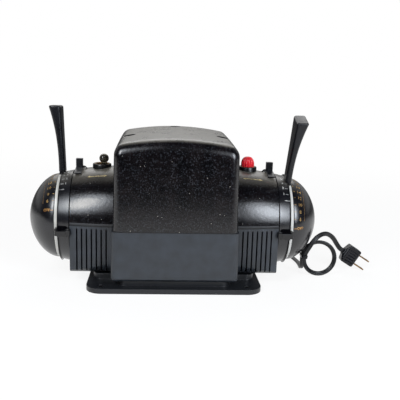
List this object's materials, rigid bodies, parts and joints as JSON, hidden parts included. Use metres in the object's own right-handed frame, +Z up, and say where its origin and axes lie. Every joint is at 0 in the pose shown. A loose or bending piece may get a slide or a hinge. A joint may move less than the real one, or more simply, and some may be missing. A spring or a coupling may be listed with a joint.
{
  "type": "model train transformer",
  "caption": "Twin-control model train transformer in black moulding, with a dial and throttle handle at each end and a tied power cord.",
  "frame": {"origin": "middle of the base plate's underside, on the table", "axes": "+Z up, +X along the dial axis to the right, the pictured front faces -Y"},
  "size_m": [0.4341, 0.2796, 0.2056],
  "materials": {
    "black_moulding": "glossy",
    "dark_moulding": "satin",
    "painted_base": "satin",
    "white_ring": "satin",
    "steel": "satin",
    "lamination_steel": "matte",
    "copper_wire": "satin",
    "brass": "satin",
    "nickel": "glossy",
    "carbon": "matte",
    "fibre_board": "matte",
    "clear_glass": "clear",
    "red_glass": "glossy",
    "cord_rubber": "satin"
  },
  "bodies": {
    "housing": {"base_plate": "painted_base", "lower_housing": "dark_moulding", "upper_cover": "black_moulding", "cover_screws": "steel", "core_bolts": "steel", "core_cradle": "steel", "laminated_core": "lamination_steel", "coil_former": "fibre_board", "coil": "copper_wire", "top_frame": "steel", "left_bearing_plate": "steel", "right_bearing_plate": "steel", "left_bezel": "black_moulding", "right_bezel": "black_moulding", "left_lamp_socket": "brass", "right_lamp_socket": "brass", "left_lamp": "clear_glass", "right_lamp": "clear_glass", "red_lens": "red_glass", "terminal_board": "fibre_board", "binding_posts": "brass", "thumb_nuts": "nickel", "circuit_breaker": "fibre_board", "rectifier_stack": "copper_wire", "strain_relief": "cord_rubber", "power_cord": "cord_rubber", "cord_coil": "cord_rubber", "cord_run": "cord_rubber", "cord_hank": "cord_rubber", "plug_lead": "cord_rubber", "cord_tie": "cord_rubber", "plug_body": "cord_rubber", "plug_blades": "brass"},
    "left_throttle": {"left_dial_dome": "black_moulding", "left_light_ring": "white_ring", "left_throttle_handle": "black_moulding", "left_throttle_shaft": "steel", "left_outer_arm": "brass"},
    "left_dial": {"left_dial_band": "black_moulding", "left_dial_sleeve": "brass", "left_inner_arm": "brass"},
    "left_direction": {"left_direction_lever": "black_moulding"},
    "left_outer_wheel": {"left_outer_roller": "carbon"},
    "left_inner_wheel": {"left_inner_roller": "carbon"},
    "right_throttle": {"right_dial_dome": "black_moulding", "right_light_ring": "white_ring", "right_throttle_handle": "black_moulding", "right_throttle_shaft": "steel", "right_outer_arm": "brass"},
    "right_dial": {"right_dial_band": "black_moulding", "right_dial_sleeve": "brass", "right_inner_arm": "brass"},
    "right_direction": {"right_direction_lever": "black_moulding"},
    "right_outer_wheel": {"right_outer_roller": "carbon"},
    "right_inner_wheel": {"right_inner_roller": "carbon"}
  },
  "joints": [
    {"name": "left_throttle_turn", "type": "hinge", "parent": "housing", "child": "left_throttle", "pos_m": [0, 0, 0.07], "axis": [1, 0, 0], "range_deg": [-21, 81]},
    {"name": "left_dial_turn", "type": "hinge", "parent": "housing", "child": "left_dial", "pos_m": [0, 0, 0.07], "axis": [1, 0, 0], "range_deg": [0, 95]},
    {"name": "left_direction_tilt", "type": "hinge", "parent": "housing", "child": "left_direction", "pos_m": [0, 0, 0.07], "axis": [1, 0, 0], "range_deg": [-14, 14], "stiffness_Nm_per_rad": 0.08},
    {"name": "left_outer_roll", "type": "hinge", "parent": "left_throttle", "child": "left_outer_wheel", "pos_m": [-0.0508, 0.012, 0.09079], "axis": [0, 0.5, 0.866], "range_deg": [-102, 390]},
    {"name": "left_inner_roll", "type": "hinge", "parent": "left_dial", "child": "left_inner_wheel", "pos_m": [-0.0508, -0.01741, 0.05348], "axis": [0, -0.7254, -0.6884], "range_deg": [-1, 457]},
    {"name": "right_throttle_turn", "type": "hinge", "parent": "housing", "child": "right_throttle", "pos_m": [0, 0, 0.07], "axis": [1, 0, 0], "range_deg": [-41, 61]},
    {"name": "right_dial_turn", "type": "hinge", "parent": "housing", "child": "right_dial", "pos_m": [0, 0, 0.07], "axis": [1, 0, 0], "range_deg": [0, 95]},
    {"name": "right_direction_tilt", "type": "hinge", "parent": "housing", "child": "right_direction", "pos_m": [0, 0, 0.07], "axis": [1, 0, 0], "range_deg": [-14, 14], "stiffness_Nm_per_rad": 0.08},
    {"name": "right_outer_roll", "type": "hinge", "parent": "right_throttle", "child": "right_outer_wheel", "pos_m": [0.0508, 0.00417, 0.09363], "axis": [0, 0.1736, 0.9848], "range_deg": [-294, 198]},
    {"name": "right_inner_roll", "type": "hinge", "parent": "right_dial", "child": "right_inner_wheel", "pos_m": [0.0508, -0.01741, 0.05348], "axis": [0, -0.7254, -0.6884], "range_deg": [-457, 1]}
  ],
  "couplings": [
    {"joint": "left_outer_roll", "follows": "left_throttle_turn", "ratio": 4.8},
    {"joint": "left_inner_roll", "follows": "left_dial_turn", "ratio": 4.8},
    {"joint": "right_outer_roll", "follows": "right_throttle_turn", "ratio": -4.8},
    {"joint": "right_inner_roll", "follows": "right_dial_turn", "ratio": -4.8}
  ]
}
